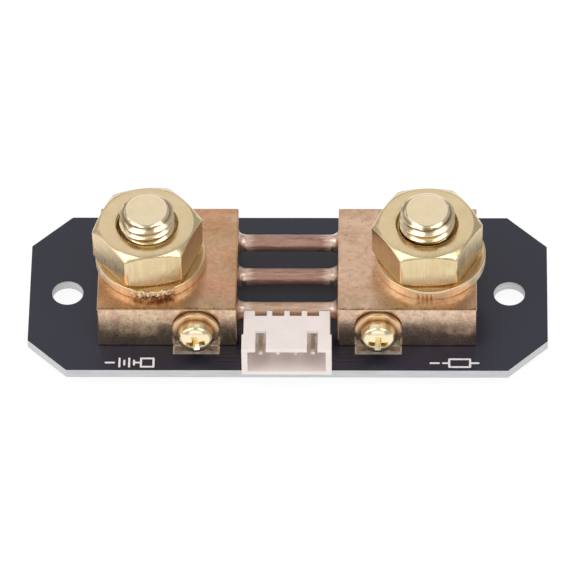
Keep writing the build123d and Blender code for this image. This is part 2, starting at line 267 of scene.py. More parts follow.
def stained(shader, light, deep, origin):
    """Brass that wanders between light and deep, blushes pink in places, and has specks of tarnish."""
    stain = shader.noise((0.35, 0.35, 0.35), detail=5, roughness=0.6, origin=origin)
    colour = shader.mix(shader.spread(stain, 0.35, 0.7), light, deep)
    blush = shader.noise((0.18, 0.18, 0.18), detail=3, origin=(origin[0] + 3.0, 0, 0))
    red, green, blue = light
    pinker = (red, green * 0.94, blue)
    colour = shader.mix(shader.spread(blush, 0.45, 0.62, 0, 0.7), colour, pinker)
    specks = shader.noise((3.2, 3.2, 3.2), detail=6, roughness=0.7)
    return shader.mix(shader.spread(specks, 0.62, 0.75, 0, 0.35), colour, deep)


def lathe_rings(shader, axis, plane=(1, 1, 0)):
    """The fine turning marks of a lathe, as a height."""
    place = shader.math("MULTIPLY", shader.radius(axis, plane), 7.0)
    rings = {"W": place, "Scale": 1.0, "Detail": 3.0}
    return shader.add("ShaderNodeTexNoise", rings, noise_dimensions="1D").outputs["Fac"]


def facing_up(shader):
    """1 on surfaces that face up or down, 0 on upright ones."""
    normal = shader.add("ShaderNodeNewGeometry").outputs["True Normal"]
    height = shader.add("ShaderNodeSeparateXYZ", {0: normal}).outputs[2]
    return shader.spread(shader.math("ABSOLUTE", height), 0.3, 0.7)


def nut_brass(side):
    """Hexagon bar drawn lengthwise: its flats are streaked upright and satin, its ends are turned."""
    axis = centre(f"terminal_stud_{side}")
    shader = Shader(f"nut_brass_{side}", Metallic=1.0)
    face = facing_up(shader)
    drawn = shader.noise((3.0, 3.0, 0.16), detail=5, roughness=0.7)
    smear = shader.noise((0.8, 0.8, 0.8), detail=4)
    colour = stained(shader, (0.82, 0.67, 0.41), (0.75, 0.59, 0.34), axis)
    on_flats = shader.math("SUBTRACT", 1.0, face)
    streak = shader.math("MULTIPLY", shader.spread(drawn, 0.48, 0.7, 0, 0.16), on_flats)
    shader.set("Base Color", shader.mix(streak, colour, (0.42, 0.27, 0.12)))
    flat_roughness = shader.spread(drawn, 0.3, 0.7, 0.22, 0.36)
    face_roughness = shader.spread(smear, 0.3, 0.7, 0.17, 0.3)
    shader.set("Roughness", shader.blend(face, flat_roughness, face_roughness))
    marks = shader.blend(face, drawn, lathe_rings(shader, axis))
    pits = shader.noise((6, 6, 6), detail=3)
    shader.bump([(marks, 0.13, 0.02), (pits, 0.25, 0.008), (smear, 0.35, 0.08)])
    return shader.material


def washer_brass(side):
    """Punched sheet: its flat faces deep gold and greasy, its sheared rim pale and rough."""
    shader = Shader(f"washer_brass_{side}", Metallic=1.0)
    face = facing_up(shader)
    flats = stained(shader, (0.70, 0.53, 0.31), (0.58, 0.41, 0.22), centre(f"terminal_stud_{side}"))
    sheared = shader.noise((2.6, 2.6, 0.5), detail=5, roughness=0.7)
    rim = shader.mix(shader.spread(sheared, 0.35, 0.65), (1.0, 0.86, 0.64), (0.88, 0.70, 0.49))
    shader.set("Base Color", shader.mix(face, rim, flats))
    shader.set("Roughness", shader.blend(face, shader.spread(sheared, 0.3, 0.7, 0.36, 0.5), 0.24))
    shader.bump([(sheared, 0.35, 0.03), (shader.noise((5, 5, 5), detail=4), 0.25, 0.01)])
    return shader.material


def milled_block(side, light, deep, stain, front):
    """Sawn and rolled brass bar: satin, pinkish, with blotches, brown grain and darkened edges.

    front: the light and deep colours of the upright faces, which were sawn rather than rolled."""
    shader = Shader(f"block_brass_{side}", Metallic=1.0)
    node = f"terminal_block_{side}"
    blotch = shader.noise((0.22, 0.26, 0.4), detail=6, roughness=0.62, distortion=0.8)
    colour = shader.mix(shader.spread(blotch, 0.38, 0.62), light, deep)
    cloud = shader.noise((0.10, 0.14, 0.25), detail=3, origin=(SIGN[side] * 7.0, 3.0, 1.0))
    colour = shader.mix(shader.spread(cloud, 0.48, 0.66, 0, 0.8), colour, stain)
    near_front = shader.spread(shader.along(1, (0, low(node).y, 0)), 0.8, 6.5, 0.55, 0)
    olive = shader.math("MULTIPLY", near_front, shader.spread(blotch, 0.3, 0.6, 0.5, 1))
    colour = shader.mix(olive, colour, (0.44, 0.32, 0.20))
    sawn = shader.noise((0.42, 0.42, 0.3), detail=6, roughness=0.68, distortion=1.0, origin=(2.0, 0, 0))
    upright_face = shader.math("SUBTRACT", 1.0, facing_up(shader))
    colour = shader.mix(upright_face, colour, shader.mix(shader.spread(sawn, 0.36, 0.64), *front))
    grain = shader.noise((1.3, 1.5, 1.5), detail=6, roughness=0.75)
    dark_grain, bright_grain = (0.26, 0.15, 0.09), (0.92, 0.72, 0.55)
    colour = shader.mix(shader.spread(grain, 0.5, 0.72, 0, 0.5), colour, dark_grain)
    colour = shader.mix(shader.spread(grain, 0.28, 0.42, 0.35, 0), colour, bright_grain)
    streak = shader.noise((1.9, 1.9, 0.22), detail=5, roughness=0.7)
    colour = shader.mix(shader.spread(streak, 0.56, 0.72, 0, 0.4), colour, (0.22, 0.13, 0.08))
    colour = shader.mix(burr_line(shader, node, streak), colour, (0.15, 0.09, 0.05))
    shader.set("Base Color", colour)
    shader.set("Roughness", shader.spread(grain, 0.3, 0.7, 0.18, 0.32))
    rolling = shader.noise((5.0, 0.3, 0.3), detail=4, roughness=0.7)
    across = shader.noise((0.5, 7.0, 7.0), detail=3)
    shader.bump([(rolling, 0.2, 0.02), (across, 0.12, 0.012), (grain, 0.35, 0.03), (blotch, 0.3, 0.08)])
    return shader.material


def burr_line(shader, node, ragged, width=0.42):
    """Up to 1 on the last width millimetres of a block's top face, at its front, here and there."""
    wander = shader.spread(ragged, 0.35, 0.65, -0.6 * width, 0.6 * width)
    from_front = shader.math("SUBTRACT", shader.along(1, (0, low(node).y, 0)), wander)
    near_front = shader.spread(from_front, 0.45 * width, width, 1, 0)
    patches = shader.spread(shader.noise((0.35, 0, 0), detail=4, roughness=0.7), 0.4, 0.56, 0.15, 0.9)
    on_top = shader.spread(shader.along(2, (0, 0, BLOCK_TOP)), -0.06, -0.02)
    return shader.math("MULTIPLY", shader.math("MULTIPLY", near_front, patches), on_top)


def drawn_alloy(name, light, deep, burnt):
    """A resistance bar: oxidised coppery brown, scratched lengthwise, its ends wetted by the braze."""
    shader = Shader(name, Metallic=0.6)
    lengthwise = shader.noise((0.25, 1.9, 1.9), detail=6, roughness=0.7)
    colour = shader.mix(shader.spread(lengthwise, 0.35, 0.65), light, deep)
    heat = shader.noise((0.4, 1.0, 1.0), detail=5, roughness=0.7, distortion=0.8)
    colour = shader.mix(shader.spread(heat, 0.52, 0.66, 0, 0.6), colour, burnt)
    streak = shader.noise((0.32, 4.0, 4.0), detail=5, roughness=0.7)
    colour = shader.mix(shader.spread(streak, 0.56, 0.68, 0, 0.45), colour, (0.80, 0.56, 0.45))
    from_middle = shader.math("ABSOLUTE", shader.along(0))
    creep = shader.math("ADD", from_middle, shader.spread(streak, 0.3, 0.7, -0.9, 0.9))
    bare_end = -high("terminal_block_battery").x
    wetted = shader.spread(creep, bare_end - 2.4, bare_end - 1.3, 0, 0.85)
    shader.set("Base Color", shader.mix(wetted, colour, (0.82, 0.64, 0.53)))
    shader.set("Roughness", shader.spread(streak, 0.35, 0.65, 0.26, 0.52))
    lines = shader.noise((0.3, 9.0, 9.0), detail=3)
    shader.bump([(lines, 0.4, 0.02), (streak, 0.5, 0.04), (lengthwise, 0.35, 0.05)])
    return shader.material


def silver_braze():
    """Frozen flow, shiny on its swellings and duller between them."""
    shader = Shader("silver_braze", Metallic=1.0)
    flow = shader.noise((0.9, 0.9, 0.9), detail=5, distortion=0.5)
    colour = shader.mix(shader.spread(flow, 0.35, 0.65), (0.84, 0.67, 0.56), (0.62, 0.42, 0.35))
    shader.set("Base Color", colour)
    shader.set("Roughness", shader.spread(flow, 0.3, 0.7, 0.3, 0.45))
    shader.bump([(flow, 0.4, 0.06), (shader.noise((5, 5, 5)), 0.2, 0.01)])
    return shader.material


def tinned(name, light, deep, roughness):
    """Bright tin or zinc with a faint crystal bloom."""
    shader = Shader(name, Metallic=1.0)
    bloom = shader.noise((1.5, 1.5, 1.5), detail=5)
    shader.set("Base Color", shader.mix(shader.spread(bloom, 0.35, 0.7), light, deep))
    shader.set("Roughness", shader.spread(bloom, 0.3, 0.7, roughness * 0.8, roughness * 1.3))
    shader.bump([(bloom, 0.3, 0.02), (shader.noise((9, 9, 9)), 0.2, 0.006)])
    return shader.material


def solder_mask(name, light, deep):
    """Black mask over woven glass: a low sheen with the weave just showing."""
    shader = Shader(name, Metallic=0.0)
    cloud = shader.noise((0.08, 0.08, 0.08), detail=4)
    shader.set("Base Color", shader.mix(shader.spread(cloud, 0.3, 0.7), light, deep))
    shader.set("Roughness", shader.spread(cloud, 0.3, 0.7, 0.30, 0.38))
    threads = []
    for axis, scale in (("X", (0.55, 0, 0)), ("Y", (0, 0.55, 0))):
        settings = {"Vector": shader.scaled(scale), "Scale": 1.0}
        threads.append(shader.add("ShaderNodeTexWave", settings, bands_direction=axis).outputs["Fac"])
    weave = shader.math("MULTIPLY", *threads)
    shader.bump([(weave, 0.06, 0.02), (shader.noise((4, 4, 4), detail=5), 0.12, 0.008)])
    return shader.material


def laminate_edge():
    """The routed edge of the board: pale glass laminate in thin layers, a little fuzzy."""
    shader = Shader("laminate_edge", Metallic=0.0, Roughness=0.62)
    layers = shader.noise((0.25, 0.25, 9.0), detail=4, roughness=0.7)
    fuzz = shader.noise((2.4, 2.4, 2.4), detail=5, roughness=0.7)
    colour = shader.mix(shader.spread(layers, 0.35, 0.7), (0.66, 0.67, 0.68), (0.46, 0.47, 0.48))
    colour = shader.mix(shader.spread(fuzz, 0.6, 0.8, 0, 0.5), colour, (0.32, 0.32, 0.33))
    shader.set("Base Color", colour)
    shader.bump([(layers, 0.4, 0.03), (fuzz, 0.4, 0.02)])
    return shader.material


def white_nylon():
    """Natural nylon, slightly translucent, with soft flow marks and a fine moulded texture."""
    shader = Shader("white_nylon", Metallic=0.0, Subsurface_Weight=0.2, Subsurface_Scale=0.001)
    shader.set("Subsurface Radius", (1.0, 0.75, 0.6))
    flow = shader.noise((0.3, 0.5, 0.5), detail=4)
    colour = shader.mix(shader.spread(flow, 0.3, 0.7), (0.89, 0.805, 0.775), (0.845, 0.75, 0.715))
    shader.set("Base Color", colour)
    shader.set("Roughness", shader.spread(flow, 0.3, 0.7, 0.38, 0.5))
    shader.bump([(shader.noise((7, 7, 7), detail=3), 0.15, 0.008), (flow, 0.15, 0.06)])
    return shader.material


def plain_moulding(name, light, deep, roughness):
    """Moulded epoxy or fired ceramic, with a fine matt grain."""
    shader = Shader(name, Metallic=0.0, Roughness=roughness)
    grain = shader.noise((5, 5, 5), detail=5)
    shader.set("Base Color", shader.mix(shader.spread(grain, 0.35, 0.7), light, deep))
    shader.bump([(grain, 0.3, 0.015)])
    return shader.material


def print_ink():
    """Screen-printed ink, slightly broken up by the screen's mesh."""
    shader = Shader("print_ink", Metallic=0.0, Roughness=0.55)
    mesh_marks = shader.noise((6, 6, 6), detail=4)
    colour = shader.mix(shader.spread(mesh_marks, 0.5, 0.75), (0.86, 0.86, 0.87), (0.55, 0.55, 0.57))
    shader.set("Base Color", colour)
    shader.bump([(mesh_marks, 0.3, 0.01)])
    return shader.material


FINISH = {
    "mask": solder_mask("solder_mask_black", (0.012, 0.0125, 0.028), (0.016, 0.017, 0.037)),
    "track": solder_mask("solder_mask_over_copper", (0.022, 0.020, 0.032), (0.027, 0.024, 0.038)),
    "laminate": laminate_edge(),
    "manganin": drawn_alloy(
        "manganin_drawn", light=(0.475, 0.29, 0.225), deep=(0.36, 0.195, 0.155), burnt=(0.26, 0.09, 0.075)
    ),
    # The front bar gets a lighter copy of the bar colours: painted light.
    "manganin_front": drawn_alloy(
        "manganin_painted_light", light=(0.66, 0.46, 0.34), deep=(0.50, 0.32, 0.22), burnt=(0.36, 0.22, 0.11)
    ),
    "braze": silver_braze(),
    "nylon": white_nylon(),
    "ink": print_ink(),
    "solder": tinned("solder_joint", (0.72, 0.72, 0.73), (0.5, 0.5, 0.52), 0.28),
    "tin": tinned("tinned_pin", (0.74, 0.68, 0.56), (0.55, 0.48, 0.38), 0.22),
    "zinc": tinned("zinc_plating", (0.68, 0.69, 0.71), (0.5, 0.51, 0.54), 0.3),
    # The tab's dull, dark colours are partly painted shade from the sense screw head and washer above it.
    "tab": tinned("tab_bronze", (0.60, 0.53, 0.44), (0.38, 0.32, 0.25), 0.34),
    "epoxy": plain_moulding("black_epoxy", (0.02, 0.02, 0.021), (0.035, 0.035, 0.035), 0.5),
    "ceramic": plain_moulding("tan_ceramic", (0.42, 0.30, 0.19), (0.33, 0.23, 0.14), 0.45),
    "block_battery": milled_block(
        "battery", light=(0.66, 0.43, 0.27), deep=(0.52, 0.30, 0.16), stain=(0.70, 0.36, 0.22),
        front=((0.94, 0.74, 0.47), (0.66, 0.42, 0.30)),
    ),
    "block_load": milled_block(
        "load", light=(0.80, 0.56, 0.40), deep=(0.64, 0.42, 0.28), stain=(0.74, 0.43, 0.31),
        front=((0.90, 0.67, 0.48), (0.66, 0.43, 0.30)),
    ),
}
for end in SIDES:
    FINISH[f"nut_{end}"] = nut_brass(end)
    FINISH[f"washer_{end}"] = washer_brass(end)
    # Each stud gets painted shade in its thread roots, inside 3.56 mm of its axis and below its tip.
    FINISH[f"stud_{end}"] = turned_brass(
        f"stud_brass_{end}", light=(0.92, 0.79, 0.53), deep=(0.84, 0.69, 0.43), roughness=0.17,
        axis=centre(f"terminal_stud_{end}"),
        painted_shade=(3.56, high(f"terminal_stud_{end}").z, (0.13, 0.075, 0.025)),
    )
    sense_axis, facing_y = centre(f"sense_washer_{end}"), (1, 0, 1)
    FINISH[f"sense_{end}"] = turned_brass(
        f"sense_brass_{end}", light=(0.95, 0.84, 0.58), deep=(0.90, 0.74, 0.44), roughness=0.2,
        axis=sense_axis, plane=facing_y,
    )
    # Painted shadow of the screw head: a dark reddish ring on the washer just outside the head.
    FINISH[f"sense_washer_{end}"] = turned_brass(
        f"sense_washer_brass_{end}", light=(0.78, 0.59, 0.36), deep=(0.68, 0.44, 0.25), roughness=0.26,
        axis=sense_axis, plane=facing_y,
        painted_shade=(half_width(f"sense_screw_{end}") + 0.45, BLOCK_TOP, (0.42, 0.20, 0.11)),
    )


# ------------------------------ mesh helpers


def finish_mesh(name, bm, materials, smooth=35.0, join=1e-7):
    """Turns a bmesh in metres into a shaded object."""
    bmesh.ops.remove_doubles(bm, verts=bm.verts, dist=join)
    bmesh.ops.dissolve_degenerate(bm, edges=bm.edges, dist=join)
    bmesh.ops.recalc_face_normals(bm, faces=bm.faces)
    mesh = bpy.data.meshes.new(name)
    bm.to_mesh(mesh)
    bm.free()
    for material in materials:
        mesh.materials.append(FINISH[material])
    mesh.shade_smooth()
    mesh.set_sharp_from_angle(angle=math.radians(smooth))
    made = bpy.data.objects.new(name, mesh)
    bpy.context.scene.collection.objects.link(made)
    return made


def add_grid(bm, rows, wrap_rows=False):
    """Adds a skin over closed rows of points in millimetres. A row of one point closes the skin."""
    made = [[bm.verts.new(Vector(p) * MM) for p in row] for row in rows]
    pairs = list(zip(made, made[1:] + made[:1])) if wrap_rows else list(zip(made, made[1:]))
    for a, b in pairs:
        count = max(len(a), len(b))
        for i in range(count):
            corners = [a[i % len(a)], a[(i + 1) % len(a)], b[(i + 1) % len(b)], b[i % len(b)]]
            corners = list(dict.fromkeys(corners))
            if len(corners) > 2:
                bm.faces.new(corners)


def on_ring(radius, angle, height=0.0):
    return Vector((radius * math.cos(angle), radius * math.sin(angle), height))


def turn_angles(steps):
    return [2 * math.pi * i / steps for i in range(steps)]


def ring(radius, height, steps):
    """A closed row of points about Z."""
    return [on_ring(radius, angle, height) for angle in turn_angles(steps)]


def rounded(points, radii, steps):
    """A closed outline with its corners replaced by arcs, one radius for each. 0 leaves one sharp."""
    made = []
    for i, (point, radius) in enumerate(zip(points, radii)):
        here = Vector(point)
        if radius <= 0:
            made.append(tuple(here))
            continue
        back = (Vector(points[i - 1]) - here).normalized()
        onward = (Vector(points[(i + 1) % len(points)]) - here).normalized()
        reach = radius / math.tan(back.angle(onward) / 2)
        start, end = here + back * reach, here + onward * reach
        for j in range(steps + 1):
            t = j / steps
            made.append(tuple(start.lerp(here, t).lerp(here.lerp(end, t), t)))
    return made


def lathe(bm, outline, steps, place, wrap=True):
    """Turns an outline of (radius, height) about Z, then moves it with place."""
    rows = []
    for radius, height in outline:
        row = [Vector((0, 0, height))] if radius < 1e-6 else ring(radius, height, steps)
        rows.append([place @ p for p in row])
    add_grid(bm, rows, wrap_rows=wrap)


def upright(spot):
    """Z of the part points up, on the vertical axis through a place in the frame."""
    return Matrix.Translation((spot.x, spot.y, 0))


def facing_front(spot):
    """Z of the part points to the front, at a place in the frame."""
    return Matrix.Translation(spot) @ Matrix.Rotation(math.radians(90), 4, "X")


def stands_for(made, node, body="root"):
    """Shows the piece in place of a CAD node, on the body it moves with."""
    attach(made, body)
    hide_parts(node)


def applied(made):
    """The object with its modifiers made part of its mesh."""
    graph = bpy.context.evaluated_depsgraph_get()
    solid = bpy.data.meshes.new_from_object(made.evaluated_get(graph))
    made.modifiers.clear()
    made.data = solid
    return made


def weighted(made, width=0.0, segments=2, angle=30.0):
    """Rounds the sharp edges by width millimetres and keeps the flats flat, as part of the mesh."""
    if width:
        bevel = made.modifiers.new("rounded_edges", "BEVEL")
        bevel.width = width * MM
        bevel.segments = segments
        bevel.limit_method = "ANGLE"
        bevel.angle_limit = math.radians(angle)
        bevel.harden_normals = True
        bevel.use_clamp_overlap = True
    normals = made.modifiers.new("flat_normals", "WEIGHTED_NORMAL")
    normals.keep_sharp = True
    return applied(made)


def copy_of(node, material, width, segments=2):
    """A copy of a CAD node with its flats joined up and its edges rounded by width millimetres."""
    bm = bmesh.new()
    bm.from_mesh(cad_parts[node].data)
    bmesh.ops.remove_doubles(bm, verts=bm.verts, dist=1e-6)
    bmesh.ops.dissolve_limit(bm, angle_limit=math.radians(0.5), verts=bm.verts, edges=bm.edges)
    made = finish_mesh(f"shown_{node}", bm, [material])
    stands_for(weighted(made, width, segments), node)


# ------------------------------ the board and its print


def circle(x, y, radius, steps=64):
    """A closed outline of (x, y)."""
    return [(x + p.x, y + p.y) for p in ring(radius, 0, steps)]


def plate(name, outlines, bottom, top, edge, materials):
    """A flat plate with holes and slightly rounded rims, from closed outlines in millimetres."""
    curve = bpy.data.curves.new(name, "CURVE")
    curve.dimensions = "2D"
    curve.fill_mode = "BOTH"
    curve.extrude = ((top - bottom) / 2 - edge) * MM
    curve.bevel_depth = edge * MM
    curve.bevel_resolution = 1
    curve.offset = -edge * MM
    for outline in outlines:
        spline = curve.splines.new("POLY")
        spline.points.add(len(outline) - 1)
        for point, (x, y) in zip(spline.points, outline):
            point.co = (x * MM, y * MM, 0, 1)
        spline.use_cyclic_u = True
    shape = bpy.data.objects.new(name, curve)
    bpy.context.scene.collection.objects.link(shape)
    graph = bpy.context.evaluated_depsgraph_get()
    mesh = bpy.data.meshes.new_from_object(shape.evaluated_get(graph))
    bpy.data.objects.remove(shape)
    mesh.transform(Matrix.Translation((0, 0, (top + bottom) / 2 * MM)))
    bm = bmesh.new()
    bm.from_mesh(mesh)
    bpy.data.meshes.remove(mesh)
    return finish_mesh(name, bm, materials)


def board_outline():
    """The board's outline with its corners cut."""
    half_x, half_y, _ = high("circuit_board")
    outline = []
    for sx, sy in ((1, 1), (-1, 1), (-1, -1), (1, -1)):
        on_end = (sx * half_x, sy * (half_y - BOARD_CORNER_CUT))
        on_side = (sx * (half_x - BOARD_CORNER_CUT), sy * half_y)
        outline += [on_end, on_side] if sx * sy > 0 else [on_side, on_end]
    return outline


def board_holes():
    """The two mounting holes, the holes for the block screws and the holes for the pins."""
    holes = [circle(sx * MOUNTING_HOLE_X, 0, MOUNTING_HOLE_RADIUS) for sx in (-1, 1)]
    for side in SIDES:
        screws, block_y = f"block_screws_{side}", centre(f"terminal_block_{side}").y
        span = (high(screws).y - low(screws).y) / 2 - FIXING_HEAD_RADIUS
        x = centre(screws).x
        holes += [circle(x, block_y + sy * span, FIXING_HOLE_RADIUS, 32) for sy in (-1, 1)]
    tail_y = centre("connector_solder_joints").y
    pins = [centre(f"connector_pin_{number}").x for number in PIN_NUMBERS]
    return holes + [circle(x, tail_y, PIN_HOLE_RADIUS, 24) for x in pins]


def board():
    """The board: black mask on its faces, bare laminate on its upright edges above the lower rim."""
    bottom, top = low("circuit_board").z, high("circuit_board").z
    lower_rim = bottom + 0.13
    outlines = [board_outline(), *board_holes()]
    made = plate("shown_circuit_board", outlines, bottom, top, BOARD_EDGE_ROUND, ["mask", "laminate"])
    for face in made.data.polygons:
        wall = abs(face.normal.z) < 0.5 and face.center.z > lower_rim * MM
        face.material_index = 1 if wall else 0
    stands_for(weighted(made), "circuit_board")


def strip_outline(start, end):
    """The outline of a line STROKE_WIDTH wide, with round ends."""
    half = STROKE_WIDTH / 2
    along = (end - start).normalized() * half
    side = Vector((-along.y, along.x, 0))
    arc = [math.radians(t) for t in range(-90, 91, 30)]
    outline = [end + along * math.cos(t) + side * math.sin(t) for t in arc]
    return outline + [start - along * math.cos(t) - side * math.sin(t) for t in arc]


def stroke(name, paths, thickness, place, material="ink"):
    """Printed lines: flat strips along paths of (x, y) in millimetres.

    Each strip is a hair thicker than the one before, so that no two tops lie in one plane."""
    bm = bmesh.new()
    strips = [strip for path in paths for strip in zip(path, path[1:])]
    for count, (start, end) in enumerate(strips):
        outline = strip_outline(Vector((*start, 0)), Vector((*end, 0)))
        rise = Vector((0, 0, thickness + STROKE_STEP * count))
        lower = [bm.verts.new((place @ p) * MM) for p in outline]
        upper = [bm.verts.new((place @ (p + rise)) * MM) for p in outline]
        bm.faces.new(upper)
        bm.faces.new(lower[::-1])
        for i in range(len(outline)):
            j = (i + 1) % len(outline)
            bm.faces.new((lower[i], lower[j], upper[j], upper[i]))
    made = finish_mesh(name, bm, [material], join=1e-9)
    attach(made, "root")


def bar_sign(x, half):
    """An upright line."""
    return [(x, -half), (x, half)]


def box_sign(start, end, half):
    """The outline of a box, as one path."""
    return [(start, -half), (start, half), (end, half), (end, -half), (start, -half)]


def board_marks():
    """Generic signs for the terminals: minus, then a battery and a box, or a load resistor."""
    minus = [(2.3, 0.0), (3.5, 0.0)]
    cells = [bar_sign(1.5, 0.8), bar_sign(0.8, 0.4), bar_sign(0.1, 0.8), bar_sign(-0.6, 0.4)]
    battery = [*cells, [(-0.6, 0), (-1.6, 0)], box_sign(-1.6, -3.4, 0.8)]
    load = [[(1.7, 0), (0.8, 0)], box_sign(0.8, -2.2, 0.75), [(-2.2, 0), (-3.4, 0)]]
    upside_down = Matrix.Rotation(math.pi, 4, "Z")
    for side, paths in (("battery", battery), ("load", load)):
        place = Matrix.Translation((SIGN_X[side], SIGN_Y, BOARD_TOP)) @ upside_down
        stroke(f"printed_sign_{side}", [minus, *paths], INK_THICKNESS, place)


def board_traces():
    """Copper tracks under the mask, from each sense tab to the connector, just showing as ridges."""
    place = Matrix.Translation((0, 0, BOARD_TOP))
    for side in SIDES:
        sign = SIGN[side]
        start, bend = centre(f"sense_tab_{side}").x - sign * 2.2, sign * TRACK_BEND_X
        paths = []
        for row in range(TRACK_COUNT):
            y = TRACK_FIRST_Y - TRACK_SPACING * row
            paths.append([(start, y), (bend, y), (bend - sign * TRACK_BEND, y + TRACK_BEND)])
        stroke(f"masked_tracks_{side}", paths, TRACK_THICKNESS, place, "track")


# ------------------------------ studs, nuts and washers


def thread_radius(z, angle, outer, start):
    """A 60-degree thread with flat crests and roots. A crest passes start at angle 0."""
    turns = ((z - start) / PITCH - angle / (2 * math.pi)) % 1.0
    from_crest = min(turns, 1.0 - turns) * PITCH
    flank = (from_crest - PITCH / 16) / THREAD_FLANK_SLOPE
    return outer - min(max(flank, 0.0), THREAD_DEPTH)


def helical_skin(bm, angles, bottom, top, radius_of, place):
    """A skin whose rows climb one pitch in each turn, held level at the bottom and the top."""
    step = PITCH / ROWS_PER_TURN
    first = math.floor((bottom - PITCH) / step)
    count = math.ceil((top + PITCH) / step) - first
    rows = []
    for n in range(count + 1):
        row = []
        for angle in angles:
            climb = PITCH * (angle - angles[0]) / (2 * math.pi)
            z = min(max((first + n) * step + climb, bottom), top)
            row.append(bm.verts.new(place @ on_ring(radius_of(z, angle), angle, z) * MM))
        rows.append(row)
    last = len(angles) - 1
    for n in range(count):
        for i in range(last):
            bm.faces.new((rows[n][i], rows[n][i + 1], rows[n + 1][i + 1], rows[n + 1][i]))
        across = n + ROWS_PER_TURN
        if across < count:
            bm.faces.new((rows[n][last], rows[across][0], rows[across + 1][0], rows[n + 1][last]))


def stud(side):
    """A rod threaded all the way, with a coned tip faced off flat."""
    node = f"terminal_stud_{side}"
    bottom, top, radius = low(node).z, high(node).z, half_width(node)
    flat_edge, start = top - STUD_TIP_EDGE, THREAD_START[side]

    def radius_of(z, angle):
        cone = STUD_TIP_RADIUS + STUD_TIP_EDGE + (flat_edge - z) * STUD_TIP_SLOPE
        ground = radius
        if side == "battery" and z > top - GROUND_SPOT_DEPTH:
            ground = GROUND_SPOT_REACH / max(math.cos(angle - GROUND_SPOT_ANGLE), 0.5)
        return min(thread_radius(z, angle, radius - CREST_INSET, start), cone, ground)

    bm = bmesh.new()
    place, angles = upright(centre(node)), turn_angles(THREAD_STEPS)
    helical_skin(bm, angles, bottom, flat_edge, radius_of, place)
    disc = [(STUD_TIP_RADIUS + STUD_TIP_EDGE, flat_edge), (STUD_TIP_RADIUS, top), (1.5, top)]
    upper = [ring(radius, height, THREAD_STEPS) for radius, height in disc] + [[Vector((0, 0, top))]]
    lower = [[Vector((0, 0, bottom))], [on_ring(radius_of(bottom, t), t, bottom) for t in angles]]
    for rows in (upper, lower):
        add_grid(bm, [[place @ p for p in row] for row in rows])
    stands_for(finish_mesh(f"shown_{node}", bm, [f"stud_{side}"], 32.0, 2e-6), node)


def hexagon_radius(angle, turn):
    """Distance from the nut's axis to its side, with the hexagon's corners a little blunted."""
    local = (angle - turn + math.pi / 6) % (math.pi / 3) - math.pi / 6
    sides = [NUT_APOTHEM / math.cos(local + shift) for shift in (-math.pi / 3, 0, math.pi / 3)]
    blunting = NUT_CORNER_BLUNTING
    return -blunting * math.log(sum(math.exp(-s / blunting) for s in sides))


def nut_angles(turn):
    """Angles round a nut, closer together at its corners."""
    half = [0, 2.5, 5, 7.5, 10, 12.5, 15, 17.5, 20, 22.5, 25, 26.5, 27.7, 28.6, 29.2, 29.7]
    offsets = [-30.0] + [-t for t in reversed(half[1:])] + half
    return [turn + math.radians(60 * side + offset) for side in range(6) for offset in offsets]


def nut_sides(side, angles, wear):
    """Distance from the nut's axis to its side at each angle, its front corner ground off by wear."""
    turn, worn_corner = math.radians(NUT_TURN[side] + 30), math.radians(NUT_TURN[side] - 120)
    corner = NUT_APOTHEM / math.cos(math.pi / 6) - wear
    ground = [corner / max(math.cos(angle - worn_corner), 0.5) for angle in angles]
    return [min(hexagon_radius(angle, turn), limit) for angle, limit in zip(angles, ground)]


def nut_end(angles, sides, height_of):
    """Rows from the mouth of the thread out to the sides. height_of takes a depth in from the end."""
    edge = NUT_EDGE_ROUND
    inner = [(NUT_MOUTH_RADIUS - edge, edge * NUT_MOUTH_SLOPE), (NUT_MOUTH_RADIUS + edge, 0), (5.5, 0)]
    inner += [(NUT_FACE_RADIUS - edge, 0), (NUT_FACE_RADIUS + edge, edge * NUT_CHAMFER_SLOPE)]
    rows = [[on_ring(radius, angle, height_of(depth)) for angle in angles] for radius, depth in inner]
    least_reach, least_depth = inner[-1]
    for inset, drop in ((edge, 0.0), (0.0, edge)):
        row = []
        for angle, side in zip(angles, sides):
            reach = side - inset
            depth = (reach - NUT_FACE_RADIUS) * NUT_CHAMFER_SLOPE + drop
            row.append(on_ring(max(reach, least_reach), angle, height_of(max(depth, least_depth))))
        rows.append(row)
    return rows


def nut(side):
    """A hexagon nut with both ends coned off at 30 degrees, countersunk and threaded."""
    node = f"hex_nut_{side}"
    bottom, top, start = low(node).z, high(node).z, THREAD_START[side]
    crest_radius = half_width(f"terminal_stud_{side}") - CREST_INSET

    def bore_radius(z, angle):
        cone = NUT_MOUTH_RADIUS - min(z - bottom, top - z) / NUT_MOUTH_SLOPE
        return max(thread_radius(z, angle, crest_radius, start) + THREAD_GAP, cone)

    bm = bmesh.new()
    place = upright(centre(f"terminal_stud_{side}"))
    angles = nut_angles(math.radians(NUT_TURN[side] + 30))
    rows = nut_end(angles, nut_sides(side, angles, NUT_CORNER_WEAR[side]), lambda depth: bottom + depth)
    rows += nut_end(angles, nut_sides(side, angles, 0.0), lambda depth: top - depth)[::-1]
    add_grid(bm, [[place @ p for p in row] for row in rows])
    mouth = NUT_EDGE_ROUND * NUT_MOUTH_SLOPE
    helical_skin(bm, angles, bottom + mouth, top - mouth, bore_radius, place)
    made = finish_mesh(f"shown_{node}", bm, [f"nut_{side}"], 50.0, 2e-6)
    stands_for(weighted(made), node, f"nut_body_{side}")


